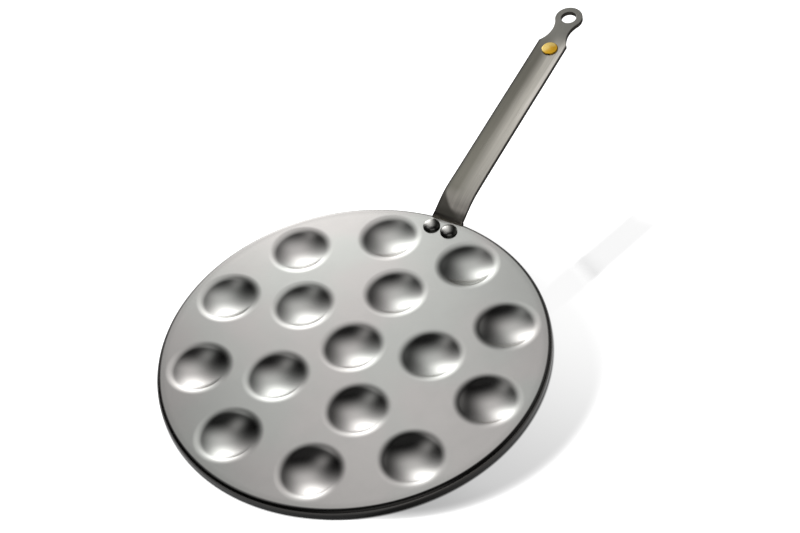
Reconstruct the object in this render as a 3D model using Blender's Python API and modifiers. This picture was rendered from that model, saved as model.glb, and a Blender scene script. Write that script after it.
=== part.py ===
"""Poffertjes pan: a pressed steel plate with sixteen round dishes and a riveted strip handle.

Metres, +Z up. The origin is in the middle of the pan, on the plane that the pan stands on, and the
handle runs out along +X. The pan stands on the undersides of its dishes.
"""

import math

import bmesh
import bpy
from mathutils import Matrix

COLLECTION = "poffertjes_pan"

# Plate
PAN_RADIUS = 0.135
SHEET = 0.0025
SHOULDER_RADIUS = 0.0032
RIM_LIFT = 0.0006

# Dishes
DISH_DEPTH = 0.0058
DISH_LIP_ROUNDING = 0.0138
DISH_FLAT_RADIUS = 0.003
EDGE_LAND = 0.0028
MIDDLE_LAND = 0.007
RING_LAND = 0.002
OUTER_RING_COUNT = 10
INNER_RING_COUNT = 5
RADII_TO_EDGE = 5
PATTERN_TURN = math.radians(-1.25)

# Notch in the rim, where the handle passes through
NOTCH_DEPTH = 0.0033
NOTCH_SIDE_GAP = 0.002
CUT_MARGIN = 0.005

# Handle strip
HANDLE_WIDTH = 0.023
HANDLE_THICKNESS = 0.0038
FOOT_OVERLAP = 0.0138
RISER_HEIGHT = 0.001
LOWER_LENGTH = 0.0187
LOWER_SLOPE = math.radians(25.2)
STRAIGHT_LENGTH = 0.187
STRAIGHT_SLOPE = math.radians(9.05)
TIGHT_BEND_RADIUS = 0.0025
LONG_BEND_RADIUS = 0.055
RING_RADIUS = 0.0108
RING_WALL = 0.0049
RING_OFFSET = 0.0004
NECK_HALF_WIDTH = 0.007
NECK_ROUNDING = 0.021

# Rivets
RIVET_FROM_NOTCH = 0.0088
RIVET_FROM_SIDE = 0.0044
RIVET_OFFSET = 0.0007
RIVET_RADIUS = 0.0025
RIVET_HEADS_APART = 0.0017
RIVET_HEAD_HEIGHT = 0.0034
RIVET_TAIL_RADIUS = 0.0046
RIVET_TAIL_HEIGHT = 0.0012

# Button
BUTTON_TO_HOLE = 0.0352
BUTTON_OFFSET = 0.001
BUTTON_RADIUS = 0.00625
BUTTON_HEIGHT = 0.001
BUTTON_EDGE = 0.0006
BUTTON_SHANK_RADIUS = 0.003
BUTTON_TAIL_RADIUS = 0.0045
BUTTON_TAIL_HEIGHT = 0.0012

# Fits
GAP = 0.0003
WELD = 0.00001

# Facets
RIM_STEPS = 96
DISH_STEPS = 24
ROUND_STEPS = 24
SHOULDER_SEGMENTS = 3
LIP_SEGMENTS = 2
BOWL_SEGMENTS = 3
BEND_SEGMENTS = 5
ARC_SEGMENTS = 8
SHARP_ANGLE = math.radians(35)

# Heights, places and sizes that follow from those above. Between the middle of the plate and its shoulder
# lie one radius of the middle dish, two of an inner one, two of an outer one and three strips of flat.
TOP = DISH_DEPTH + SHEET
FLAT_RADIUS = PAN_RADIUS - SHOULDER_RADIUS
DISH_LIP_RADIUS = (FLAT_RADIUS - EDGE_LAND - MIDDLE_LAND - RING_LAND) / RADII_TO_EDGE
INNER_RING_RADIUS = 2 * DISH_LIP_RADIUS + MIDDLE_LAND
OUTER_RING_RADIUS = INNER_RING_RADIUS + 2 * DISH_LIP_RADIUS + RING_LAND
HANG_HOLE_RADIUS = RING_RADIUS - RING_WALL
RIVET_SPACING = HANDLE_WIDTH - 2 * RIVET_FROM_SIDE
RIVET_HEAD_RADIUS = (RIVET_SPACING - RIVET_HEADS_APART) / 2
NOTCH_X = PAN_RADIUS - NOTCH_DEPTH
FOOT_TOP = TOP - SHEET - GAP
FOOT_MIDDLE = FOOT_TOP - HANDLE_THICKNESS / 2
FOOT_BOTTOM = FOOT_TOP - HANDLE_THICKNESS
RISER_X = NOTCH_X + GAP + HANDLE_THICKNESS / 2
RIVET_X = NOTCH_X - RIVET_FROM_NOTCH
FOOT_END_X = RIVET_X - FOOT_OVERLAP


def clear_scene():
    """Remove what the file holds when it opens."""
    for thing in list(bpy.data.objects):
        bpy.data.objects.remove(thing, do_unlink=True)


def new_collection(name):
    """Make a collection and hang it under the scene."""
    made = bpy.data.collections.new(name)
    bpy.context.scene.collection.children.link(made)
    return made


def metal(name, colour, roughness):
    """Plain metal for one part."""
    made = bpy.data.materials.new(name)
    made.use_nodes = True
    shader = made.node_tree.nodes["Principled BSDF"]
    shader.inputs["Base Color"].default_value = (*colour, 1.0)
    shader.inputs["Roughness"].default_value = roughness
    shader.inputs["Metallic"].default_value = 1.0
    return made


def arc(centre, radius, start, end, segments):
    """Points on a circle in a plane, from one angle to another, both ends included."""
    turns = [start + (end - start) * i / segments for i in range(segments + 1)]
    return [(centre[0] + radius * math.cos(a), centre[1] + radius * math.sin(a)) for a in turns]


def circle(centre, radius, steps):
    """Closed ring of points, first one at angle zero."""
    return arc(centre, radius, 0.0, math.tau, steps)[:-1]


def evaluated_mesh(thing):
    """Mesh of an object with its modifiers applied; the object itself is removed."""
    graph = bpy.context.evaluated_depsgraph_get()
    made = bpy.data.meshes.new_from_object(thing.evaluated_get(graph))
    bpy.data.objects.remove(thing, do_unlink=True)
    return made


def turned_mesh(name, profile, steps):
    """Screw a profile of (radius, height) points round the Z axis."""
    line = bpy.data.meshes.new(name)
    points = [(radius, 0.0, height) for radius, height in profile]
    line.from_pydata(points, [(i, i + 1) for i in range(len(points) - 1)], [])
    thing = bpy.data.objects.new(name, line)
    bpy.context.scene.collection.objects.link(thing)
    screw = thing.modifiers.new("turn", "SCREW")
    screw.steps = steps
    screw.render_steps = steps
    screw.use_merge_vertices = True
    screw.merge_threshold = WELD
    return evaluated_mesh(thing)


def outline_mesh(name, outlines, half_thickness):
    """Fill flat closed outlines, the later ones being holes in the first."""
    drawn = bpy.data.curves.new(name, "CURVE")
    drawn.dimensions = "2D"
    drawn.fill_mode = "BOTH"
    drawn.extrude = half_thickness
    for points in outlines:
        spline = drawn.splines.new("POLY")
        spline.points.add(len(points) - 1)
        for control, (x, y) in zip(spline.points, points):
            control.co = (x, y, 0.0, 1.0)
        spline.use_cyclic_u = True
    thing = bpy.data.objects.new(name, drawn)
    bpy.context.scene.collection.objects.link(thing)
    return evaluated_mesh(thing)


def finish(name, mesh, collection, material):
    """Put a mesh into a named object, shaded smooth with its sharp edges kept."""
    mesh.materials.clear()
    mesh.materials.append(material)
    mesh.shade_smooth()
    mesh.set_sharp_from_angle(angle=SHARP_ANGLE)
    thing = bpy.data.objects.new(name, mesh)
    collection.objects.link(thing)
    return thing


def dish_places():
    """Centres of the sixteen dishes, the inner ring set half an outer step off the outer one."""
    places = [(0.0, 0.0)]
    for k in range(INNER_RING_COUNT):
        turn = PATTERN_TURN + math.tau * k / INNER_RING_COUNT
        places.append((INNER_RING_RADIUS * math.cos(turn), INNER_RING_RADIUS * math.sin(turn)))
    for k in range(OUTER_RING_COUNT):
        turn = PATTERN_TURN + math.tau * (k + 0.5) / OUTER_RING_COUNT
        places.append((OUTER_RING_RADIUS * math.cos(turn), OUTER_RING_RADIUS * math.sin(turn)))
    return places


def dish_profile():
    """Half section of a dish's upper face, from its lip in to its middle.

    The lip is an arc that curves down, the bowl an arc that curves back to the flat in the middle. Both
    meet at one slope, which the width and depth of the dish settle.
    """
    run = DISH_LIP_RADIUS - DISH_FLAT_RADIUS
    slope = 2 * math.atan(DISH_DEPTH / run)
    bowl_radius = run / math.sin(slope) - DISH_LIP_ROUNDING
    upright = math.pi / 2
    lip_centre = (DISH_LIP_RADIUS, TOP - DISH_LIP_ROUNDING)
    lip = arc(lip_centre, DISH_LIP_ROUNDING, upright, upright + slope, LIP_SEGMENTS)
    bowl_centre = (DISH_FLAT_RADIUS, TOP - DISH_DEPTH + bowl_radius)
    bowl = arc(bowl_centre, bowl_radius, slope - upright, -upright, BOWL_SEGMENTS)
    return lip + bowl[1:] + [(0.0, TOP - DISH_DEPTH)]


def rim_profile():
    """Half section of the shoulder and the turned-down rim, from the flat top down."""
    centre = (FLAT_RADIUS, TOP - SHOULDER_RADIUS)
    shoulder = arc(centre, SHOULDER_RADIUS, math.pi / 2, 0.0, SHOULDER_SEGMENTS)
    return shoulder + [(PAN_RADIUS, RIM_LIFT)]


def plate_surface():
    """Upper face of the whole plate: flat, dishes, shoulder and rim, welded into one open sheet."""
    holes = [circle(place, DISH_LIP_RADIUS, DISH_STEPS) for place in dish_places()]
    flat = outline_mesh("flat", [circle((0.0, 0.0), FLAT_RADIUS, RIM_STEPS)] + holes, 0.0)
    dish = turned_mesh("dish", dish_profile(), DISH_STEPS)
    rim = turned_mesh("rim", rim_profile(), RIM_STEPS)
    flat.transform(Matrix.Translation((0.0, 0.0, TOP)))
    sheet = bmesh.new()
    sheet.from_mesh(flat)
    sheet.from_mesh(rim)
    for x, y in dish_places():
        placed = dish.copy()
        placed.transform(Matrix.Translation((x, y, 0.0)))
        sheet.from_mesh(placed)
    bmesh.ops.remove_doubles(sheet, verts=sheet.verts, dist=WELD)
    bmesh.ops.recalc_face_normals(sheet, faces=sheet.faces)
    highest = max(sheet.faces, key=lambda face: abs(face.normal.z) * face.calc_area())
    if highest.normal.z < 0:
        bmesh.ops.reverse_faces(sheet, faces=sheet.faces)
    mesh = bpy.data.meshes.new("pan_plate")
    sheet.to_mesh(mesh)
    sheet.free()
    return mesh


def cutter(name, mesh, collection):
    """Object that only cuts others."""
    thing = bpy.data.objects.new(name, mesh)
    thing.display_type = "WIRE"
    thing.hide_render = True
    collection.objects.link(thing)
    return thing


def box_mesh(name, low, high):
    """Closed box between two corners."""
    size = [b - a for a, b in zip(low, high)]
    middle = [(a + b) / 2 for a, b in zip(low, high)]
    place = Matrix.Translation(middle) @ Matrix.Diagonal((*size, 1.0))
    shape = bmesh.new()
    bmesh.ops.create_cube(shape, size=1.0, matrix=place)
    mesh = bpy.data.meshes.new(name)
    shape.to_mesh(mesh)
    shape.free()
    return mesh


def drill_mesh(name, centre, radius):
    """Closed cylinder that passes through the sheet."""
    shape = bmesh.new()
    place = Matrix.Translation((*centre, TOP))
    bmesh.ops.create_cone(shape, cap_ends=True, segments=ROUND_STEPS, radius1=radius, radius2=radius,
                          depth=2 * (SHEET + CUT_MARGIN), matrix=place)
    mesh = bpy.data.meshes.new(name)
    shape.to_mesh(mesh)
    shape.free()
    return mesh


def rivet_places():
    """Centres of the two rivets, which lie a little left of even about the handle's middle line."""
    half = RIVET_SPACING / 2
    return {"rivet_left": (RIVET_X, RIVET_OFFSET + half), "rivet_right": (RIVET_X, RIVET_OFFSET - half)}


def cut(thing, tool):
    """Take a cutter's space out of an object."""
    boolean = thing.modifiers.new(tool.name, "BOOLEAN")
    boolean.operation = "DIFFERENCE"
    boolean.solver = "EXACT"
    boolean.object = tool


def make_plate(parts, cutters):
    """Pressed plate: sheet thickness under the upper face, notch and rivet holes cut."""
    material = metal("plate_steel", (0.46, 0.45, 0.43), 0.32)
    plate = finish("pan_plate", plate_surface(), parts, material)
    wall = plate.modifiers.new("sheet", "SOLIDIFY")
    wall.thickness = SHEET
    wall.offset = -1.0
    wall.use_even_offset = True
    half_notch = HANDLE_WIDTH / 2 + NOTCH_SIDE_GAP
    low = (NOTCH_X, -half_notch, RIM_LIFT - CUT_MARGIN)
    high = (PAN_RADIUS + CUT_MARGIN, half_notch, TOP + CUT_MARGIN)
    cut(plate, cutter("notch_cutter", box_mesh("notch_cutter", low, high), cutters))
    for name, place in rivet_places().items():
        hole = drill_mesh(name + "_drill", place, RIVET_RADIUS + GAP)
        cut(plate, cutter(name + "_drill", hole, cutters))
    return plate


def strip_corners():
    """Corners of the strip's middle line in side view, and the bend radius at each inner one."""
    ring_end = STRAIGHT_LENGTH + RING_RADIUS
    foot_end = (FOOT_END_X, FOOT_MIDDLE)
    riser_foot = (RISER_X, FOOT_MIDDLE)
    riser_head = (RISER_X, TOP + RISER_HEIGHT)
    bend = (riser_head[0] + LOWER_LENGTH * math.cos(LOWER_SLOPE),
            riser_head[1] + LOWER_LENGTH * math.sin(LOWER_SLOPE))
    tip = (bend[0] + ring_end * math.cos(STRAIGHT_SLOPE),
           bend[1] + ring_end * math.sin(STRAIGHT_SLOPE))
    corners = [foot_end, riser_foot, riser_head, bend, tip]
    return corners, [TIGHT_BEND_RADIUS, TIGHT_BEND_RADIUS, LONG_BEND_RADIUS]


def strip_path():
    """Middle line of the strip as straight runs and arcs.

    Each piece is (kind, start length, length, start point, start heading, signed bend radius). A left turn,
    which lifts the strip, has a positive radius.
    """
    corners, radii = strip_corners()
    headings = [math.atan2(b[1] - a[1], b[0] - a[0]) for a, b in zip(corners, corners[1:])]
    turns = [after - before for before, after in zip(headings, headings[1:])]
    trims = [radius * math.tan(abs(turn) / 2) for radius, turn in zip(radii, turns)]
    pieces = []
    length = 0.0
    point = corners[0]
    for i, heading in enumerate(headings):
        run = math.dist(corners[i], corners[i + 1])
        run -= (trims[i - 1] if i > 0 else 0.0) + (trims[i] if i < len(trims) else 0.0)
        pieces.append(("line", length, run, point, heading, 0.0))
        point = (point[0] + run * math.cos(heading), point[1] + run * math.sin(heading))
        length += run
        if i < len(turns):
            radius = math.copysign(radii[i], turns[i])
            bend = radii[i] * abs(turns[i])
            pieces.append(("arc", length, bend, point, heading, radius))
            centre = (point[0] - radius * math.sin(heading), point[1] + radius * math.cos(heading))
            after = headings[i + 1]
            point = (centre[0] + radius * math.sin(after), centre[1] - radius * math.cos(after))
            length += bend
    return pieces


def on_path(pieces, along):
    """Point and heading of the strip's middle line at a length from its foot end."""
    piece = next((p for p in pieces if along <= p[1] + p[2]), pieces[-1])
    kind, start, _, point, heading, radius = piece
    rest = along - start
    if kind == "line":
        return (point[0] + rest * math.cos(heading), point[1] + rest * math.sin(heading)), heading
    now = heading + rest / radius
    centre = (point[0] - radius * math.sin(heading), point[1] + radius * math.cos(heading))
    return (centre[0] + radius * math.sin(now), centre[1] - radius * math.cos(now)), now


def hole_along(pieces):
    """Length along the strip at which the hang hole's centre lies."""
    return pieces[-1][1] + pieces[-1][2] - RING_RADIUS


def strip_side(hole, ring_y):
    """Left side of the flat strip's outline from foot to ring, whose centre lies at that distance left.

    The neck is an arc that touches the ring's circle, and it starts where it reaches the strip's full
    width.
    """
    half = HANDLE_WIDTH / 2
    neck_reach = NECK_HALF_WIDTH + NECK_ROUNDING
    neck_x = hole - math.sqrt((NECK_ROUNDING + RING_RADIUS) ** 2 - neck_reach ** 2)
    neck_y = ring_y + neck_reach
    first = -math.pi / 2 - math.acos((neck_y - half) / NECK_ROUNDING)
    last = math.atan2(-neck_reach, hole - neck_x)
    neck = arc((neck_x, neck_y), NECK_ROUNDING, first, last, ARC_SEGMENTS)
    ring = arc((hole, ring_y), RING_RADIUS, last + math.pi, 0.0, ARC_SEGMENTS)
    foot = arc((half, 0.0), half, math.pi, math.pi / 2, ARC_SEGMENTS)
    return foot + neck + ring[1:]


def strip_outline(hole):
    """Outline of the strip laid flat, with the ring a little right of the middle line."""
    right = strip_side(hole, RING_OFFSET)
    return strip_side(hole, -RING_OFFSET) + [(x, -y) for x, y in reversed(right[1:-1])]


def strip_holes(hole):
    """Hang hole, rivet holes and button hole in the strip laid flat."""
    holes = [circle((hole, -RING_OFFSET), HANG_HOLE_RADIUS, ROUND_STEPS)]
    for x, y in rivet_places().values():
        holes.append(circle((x - FOOT_END_X, y), RIVET_RADIUS + GAP, ROUND_STEPS))
    holes.append(circle((hole - BUTTON_TO_HOLE, -BUTTON_OFFSET), BUTTON_SHANK_RADIUS + GAP, ROUND_STEPS))
    return holes


def make_handle(parts):
    """Strip handle: drawn flat with its thickness, cut across at the bends, then bent."""
    pieces = strip_path()
    hole = hole_along(pieces)
    flat = outline_mesh("handle_strip", [strip_outline(hole)] + strip_holes(hole), HANDLE_THICKNESS / 2)
    shape = bmesh.new()
    shape.from_mesh(flat)
    bmesh.ops.remove_doubles(shape, verts=shape.verts, dist=WELD)
    for kind, start, length, _, _, _ in pieces:
        if kind == "arc":
            for i in range(BEND_SEGMENTS + 1):
                everything = shape.verts[:] + shape.edges[:] + shape.faces[:]
                place = (start + length * i / BEND_SEGMENTS, 0.0, 0.0)
                bmesh.ops.bisect_plane(shape, geom=everything, dist=WELD, plane_co=place,
                                       plane_no=(1.0, 0.0, 0.0))
    for vert in shape.verts:
        (x, z), heading = on_path(pieces, vert.co.x)
        vert.co = (x - vert.co.z * math.sin(heading), vert.co.y, z + vert.co.z * math.cos(heading))
    bmesh.ops.recalc_face_normals(shape, faces=shape.faces)
    mesh = bpy.data.meshes.new("handle_strip")
    shape.to_mesh(mesh)
    shape.free()
    return finish("handle_strip", mesh, parts, metal("handle_steel", (0.33, 0.32, 0.29), 0.36))


def rivet_profile():
    """Half section of a rivet, top to bottom: dome, shank and the head formed under the foot."""
    base = TOP + GAP
    dome = [(RIVET_HEAD_RADIUS * x, base + RIVET_HEAD_HEIGHT * z)
            for x, z in arc((0.0, 0.0), 1.0, math.pi / 2, 0.0, ARC_SEGMENTS)]
    tail = FOOT_BOTTOM - GAP
    return [(0.0, base + RIVET_HEAD_HEIGHT)] + dome[1:] + [
        (RIVET_RADIUS, base),
        (RIVET_RADIUS, tail),
        (RIVET_TAIL_RADIUS, tail),
        (RIVET_TAIL_RADIUS, tail - RIVET_TAIL_HEIGHT / 2),
        (RIVET_RADIUS, tail - RIVET_TAIL_HEIGHT),
        (0.0, tail - RIVET_TAIL_HEIGHT),
    ]


def make_rivets(parts):
    """Two domed rivets through plate and handle foot."""
    material = metal("rivet_steel", (0.20, 0.20, 0.20), 0.28)
    profile = rivet_profile()
    for name, (x, y) in rivet_places().items():
        rivet = finish(name, turned_mesh(name, profile, ROUND_STEPS), parts, material)
        rivet.location = (x, y, 0.0)


def button_profile():
    """Half section of the button, top to bottom: disc with a rounded edge, shank and tail."""
    face = HANDLE_THICKNESS / 2 + GAP
    centre = (BUTTON_RADIUS - BUTTON_EDGE, face + BUTTON_HEIGHT - BUTTON_EDGE)
    edge = arc(centre, BUTTON_EDGE, math.pi / 2, 0.0, SHOULDER_SEGMENTS)
    return [(0.0, face + BUTTON_HEIGHT)] + edge + [
        (BUTTON_RADIUS, face),
        (BUTTON_SHANK_RADIUS, face),
        (BUTTON_SHANK_RADIUS, -face),
        (BUTTON_TAIL_RADIUS, -face),
        (BUTTON_TAIL_RADIUS, -face - BUTTON_TAIL_HEIGHT / 2),
        (BUTTON_SHANK_RADIUS, -face - BUTTON_TAIL_HEIGHT),
        (0.0, -face - BUTTON_TAIL_HEIGHT),
    ]


def make_button(parts):
    """Round brass button through the straight part of the handle, square to it and right of its middle."""
    pieces = strip_path()
    (x, z), heading = on_path(pieces, hole_along(pieces) - BUTTON_TO_HOLE)
    material = metal("button_brass", (0.72, 0.47, 0.12), 0.25)
    mesh = turned_mesh("handle_button", button_profile(), ROUND_STEPS)
    button = finish("handle_button", mesh, parts, material)
    button.location = (x, -BUTTON_OFFSET, z)
    button.rotation_euler = (0.0, -heading, 0.0)


def main():
    """Build the whole pan."""
    clear_scene()
    parts = new_collection(COLLECTION)
    cutters = new_collection("cutters")
    make_plate(parts, cutters)
    make_handle(parts)
    make_rivets(parts)
    make_button(parts)


main()
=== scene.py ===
"""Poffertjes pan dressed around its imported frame.

Metres, +Z up, handle along +X, origin in the middle of the pan on the plane that it stands on. Every piece
replaces the solid of the same place and keeps its size.
"""

import math

import bmesh
import bpy
import numpy as np
from bpy.props import FloatProperty, FloatVectorProperty, PointerProperty
from mathutils import Matrix, Vector, geometry


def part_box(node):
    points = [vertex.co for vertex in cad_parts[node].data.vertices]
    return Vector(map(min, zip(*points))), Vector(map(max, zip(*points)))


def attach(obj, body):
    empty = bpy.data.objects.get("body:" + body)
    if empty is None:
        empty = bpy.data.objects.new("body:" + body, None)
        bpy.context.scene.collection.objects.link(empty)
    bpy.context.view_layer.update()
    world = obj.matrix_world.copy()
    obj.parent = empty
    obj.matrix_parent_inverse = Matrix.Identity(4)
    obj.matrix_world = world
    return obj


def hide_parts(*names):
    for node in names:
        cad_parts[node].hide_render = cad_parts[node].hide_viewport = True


bl_info = {
    "name": "Poffertjes Pan",
    "version": (1, 0, 0),
    "blender": (4, 5, 0),
    "location": "3D View > Sidebar > Poffertjes",
    "description": "Builds a pressed steel poffertjes pan, its riveted strip handle and a small studio",
    "category": "Object",
}

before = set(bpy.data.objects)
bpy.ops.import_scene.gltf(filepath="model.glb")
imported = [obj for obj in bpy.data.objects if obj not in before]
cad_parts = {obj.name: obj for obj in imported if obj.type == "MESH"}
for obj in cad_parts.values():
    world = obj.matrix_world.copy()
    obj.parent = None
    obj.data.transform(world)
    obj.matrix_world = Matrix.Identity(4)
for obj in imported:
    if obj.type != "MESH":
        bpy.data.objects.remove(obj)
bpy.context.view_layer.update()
PLATE_LOW, PLATE_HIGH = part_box("pan_plate")
STRIP_LOW, STRIP_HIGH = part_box("handle_strip")

# Pressed plate
PATTERN_TURN = math.radians(-1.25)
OUTER_COUNT = 10
INNER_COUNT = 5
NOTCH_DEPTH = 0.0033
NOTCH_SIDE_GAP = 0.002
SUPPORT = 0.0004
DRILL_EDGE = 0.0001

# Strip handle: middle line in side view
LOWER_SLOPE = math.radians(25.2)
STRAIGHT_SLOPE = math.radians(9.05)
FOOT_OVERLAP = 0.0138
RISER_HEIGHT = 0.001
LOWER_LENGTH = 0.0187
STRAIGHT_LENGTH = 0.187
TIGHT_BEND = 0.0025
LONG_BEND = 0.055
TWIST = math.radians(4.0)
BULGE = 0.09
BOW = 0.0001
RING_OFFSET = 0.0004
NECK_HALF = 0.007
NECK_ROUNDING = 0.021

# Rivets and button
RIVET_FROM_NOTCH = 0.0088
RIVET_SPACING = 0.0142
RIVET_OFFSET = 0.0007
RIVET_RADIUS = 0.0025
BUTTON_TO_HOLE = 0.0352
BUTTON_OFFSET = 0.001
BUTTON_SHANK = 0.003
BUTTON_EDGE = 0.0006
BUTTON_CROWN = 0.0002
HEAD_CLEARANCE = 0.00005
HEAD_EDGE = 0.0003
DOME_FULLNESS = 0.92
FLAT_EDGE = 0.0002
RIVET_TAIL = 0.0046
BUTTON_TAIL = 0.0045
TAIL_END = 0.0034
TAIL_HEIGHT = 0.0012
GAP = 0.0003
WELD = 0.000004

# Fineness
RIM_COLUMNS = 420
DISH_COLUMNS = 96
ROUND_COLUMNS = 96
DRILL_COLUMNS = 32
LIP_ROWS = 7
BOWL_ROWS = 8
BEND_STEPS = 14
STRAIGHT_STEP = 0.004
FLAT_SHARP = 35.0
STRIP_SHARP = 50.0

# Fixed colours of the steel's marks and films, and of painted highlights, reflections and shade
GRAIN_GREY = (0.42, 0.41, 0.40)
CLOUD_GREY = (0.46, 0.45, 0.44)
SHOULDER_GREY = (0.30, 0.30, 0.29)
NOTCH_HIGHLIGHT = (0.86, 0.85, 0.82)
RIM_LEFT_SHADE = (0.020, 0.020, 0.020)
RIM_LOW_SHADE = (0.012, 0.012, 0.012)
NECK_STEEL = (0.29, 0.285, 0.26)
BASE_PAINTED_HIGHLIGHT = (1.0, 0.94, 0.86)
RIGHT_PAINTED_HIGHLIGHT = (0.95, 0.91, 0.84)
SHADE_BLACK = (0.11, 0.11, 0.10)
STREAK_BROWN = (0.30, 0.28, 0.25)
DARK_REFLECTION = (0.16, 0.15, 0.13)
RISER_STEEL = (0.60, 0.545, 0.48)
PIT_GREY = (0.25, 0.25, 0.24)
AMBER_SHADE = (0.80, 0.44, 0.03)


def size(name, description, default):
    """Length property in metres."""
    return FloatProperty(name=name, description=description, default=default, min=0.0, unit="LENGTH",
                         precision=5)


def share(name, description, default):
    """Property from none to all."""
    return FloatProperty(name=name, description=description, default=default, min=0.0, max=1.0,
                         subtype="FACTOR")


def colour(name, description, default):
    """Linear colour property."""
    return FloatVectorProperty(name=name, description=description, default=default, min=0.0, max=1.0,
                               size=3, subtype="COLOR")


def light(name, description, default):
    """Brightness property."""
    return FloatProperty(name=name, description=description, default=default)


class PlateSettings(bpy.types.PropertyGroup):
    """Sizes and finish of the pressed plate."""

    radius: size("Radius", "Outer radius of the plate", PLATE_HIGH[1])
    top: size("Top", "Height of the flat top above the table", PLATE_HIGH[2])
    sheet: size("Sheet", "Thickness of the sheet", 0.0025)
    shoulder: size("Shoulder", "Rounding between the flat and the rim", 0.0032)
    lift: size("Lift", "Height of the rim's lower edge above the table", PLATE_LOW[2] + 0.0006)
    edge: size("Edge", "Rounding of the sheet's cut edges", 0.0004)
    depth: size("Dish depth", "Depth of a dish below the flat", 0.00579)
    lip_radius: size("Dish radius", "Radius at which a dish leaves the flat", 0.0240)
    lip_rounding: size("Lip rounding", "Radius of the rounding at a dish's lip", 0.0138)
    outer_ring: size("Outer ring", "Radius on which the outer dishes lie", 0.105)
    inner_ring: size("Inner ring", "Radius on which the inner dishes lie", 0.055)
    steel: colour("Steel", "Colour of the satin steel", (0.585, 0.58, 0.565))
    warm: colour("Warm film", "Tint where the oil film is warm", (0.62, 0.585, 0.565))
    green: colour("Green film", "Tint where the oil film is greenish", (0.58, 0.60, 0.565))
    # Painted shade: the rim's dark colour stands for the dark that it reflects.
    rim_painted_dark: colour("Rim", "Colour of the dark rim", (0.060, 0.057, 0.054))
    roughness: share("Roughness", "Roughness of the satin face", 0.20)


class HandleSettings(bpy.types.PropertyGroup):
    """Sizes and finish of the strip handle."""

    width: size("Width", "Width of the strip", STRIP_HIGH[1] - STRIP_LOW[1])
    thickness: size("Thickness", "Thickness of the strip", 0.0038)
    edge: size("Edge", "Rounding of the strip's edges", 0.00035)
    ring: size("Ring", "Outer radius of the hanging ring", 0.0108)
    hole: size("Hang hole", "Radius of the hang hole", 0.0059)
    steel: colour("Steel", "Colour of the brushed strip", (0.58, 0.555, 0.50))
    # Painted shade: this darker colour covers the strip's left half, and it also tints the fine marks.
    dark: colour("Dark film", "Colour of the film on its left half", (0.250, 0.240, 0.203))
    scale: colour("Scale", "Colour of the dark scale on its sides and at its base", (0.022, 0.020, 0.018))
    roughness: share("Roughness", "Roughness of the brushed strip", 0.30)


class FittingSettings(bpy.types.PropertyGroup):
    """Sizes and finish of the rivets and the button."""

    head_radius: size("Head radius", "Radius of a rivet's domed head", 0.00625)
    head_height: size("Head height", "Height of a rivet's domed head", 0.0034)
    button_radius: size("Button radius", "Radius of the button", 0.00625)
    button_height: size("Button height", "Height of the button above the strip", 0.001)
    rivet_steel: colour("Rivet steel", "Colour of the rivets", (0.64, 0.63, 0.60))
    brass: colour("Brass", "Colour of the button", (0.95, 0.70, 0.22))


class StageSettings(bpy.types.PropertyGroup):
    """Light and floor of the small studio."""

    floor: colour("Floor", "Colour of the floor", (0.80, 0.80, 0.80))
    world: share("World", "Brightness of the room round the stage", 0.02)
    card: light("Card", "Brightness of the light wall low beyond the pan", 2.55)
    sky: light("Sky", "Brightness of the light wall above the pan", 0.80)
    fill: light("Fill", "Brightness of the card behind the camera", 0.5)
    side: light("Side", "Brightness of the card to the pan's right and of the wall's right end", 0.16)
    key: light("Key", "Brightness of the sun that casts the shadow", 10.0)


def settings():
    """Settings of the pan that the scene holds."""
    return bpy.context.scene.poffertjes


class PanSettings(bpy.types.PropertyGroup):
    """All settings of the pan."""

    plate: PointerProperty(type=PlateSettings)
    handle: PointerProperty(type=HandleSettings)
    fittings: PointerProperty(type=FittingSettings)
    stage: PointerProperty(type=StageSettings)


# Meshes


def quads(rows, columns, closed):
    """Four-sided faces of a grid of points; its columns may close on themselves."""
    index = np.arange(rows * columns).reshape(rows, columns)
    if closed:
        index = np.hstack([index, index[:, :1]])
    faces = np.stack([index[:-1, :-1], index[:-1, 1:], index[1:, 1:], index[1:, :-1]], axis=-1)
    return faces.reshape(-1, 4)


class Shell:
    """Grids and fills that are welded into one closed mesh."""

    def __init__(self):
        self.points = []
        self.faces = []
        self.count = 0

    def add(self, points, faces):
        """Take points of shape (n, 3) and an array of faces that count from zero."""
        self.points.append(points)
        self.faces.extend((faces + self.count).tolist())
        self.count += len(points)

    def grid(self, points, closed=True):
        """Take a grid of points of shape (rows, columns, 3); columns may close on themselves."""
        self.add(points.reshape(-1, 3), quads(*points.shape[:2], closed))

    def polygon(self, points):
        """Take one flat face given by its corners in order."""
        self.add(points, np.arange(len(points))[None])

    def mesh(self, name, sharp=FLAT_SHARP):
        """Weld everything and return a closed mesh whose faces point outwards."""
        made = bmesh.new()
        raw = bpy.data.meshes.new(name)
        raw.from_pydata(np.concatenate(self.points).tolist(), [], self.faces)
        made.from_mesh(raw)
        bmesh.ops.remove_doubles(made, verts=made.verts, dist=WELD)
        bmesh.ops.dissolve_degenerate(made, edges=made.edges, dist=WELD / 4)
        bmesh.ops.recalc_face_normals(made, faces=made.faces)
        open_edges = sum(1 for edge in made.edges if not edge.is_manifold)
        if open_edges:
            raise RuntimeError(f"{name} has {open_edges} open edges")
        made.to_mesh(raw)
        made.free()
        raw.shade_smooth()
        raw.set_sharp_from_angle(angle=math.radians(sharp))
        return raw


def smooth(value, low, high):
    """Smooth step: 3 t squared minus 2 t cubed, where t runs from 0 at low to 1 at high."""
    t = np.clip((value - low) / (high - low), 0.0, 1.0)
    return t * t * (3 - 2 * t)


def circle(centre, radius, columns):
    """Points on a circle: centre plus radius times (cosine, sine) of equal turns."""
    turn = np.arange(columns) * math.tau / columns
    return np.column_stack([centre[0] + radius * np.cos(turn), centre[1] + radius * np.sin(turn)])


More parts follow.
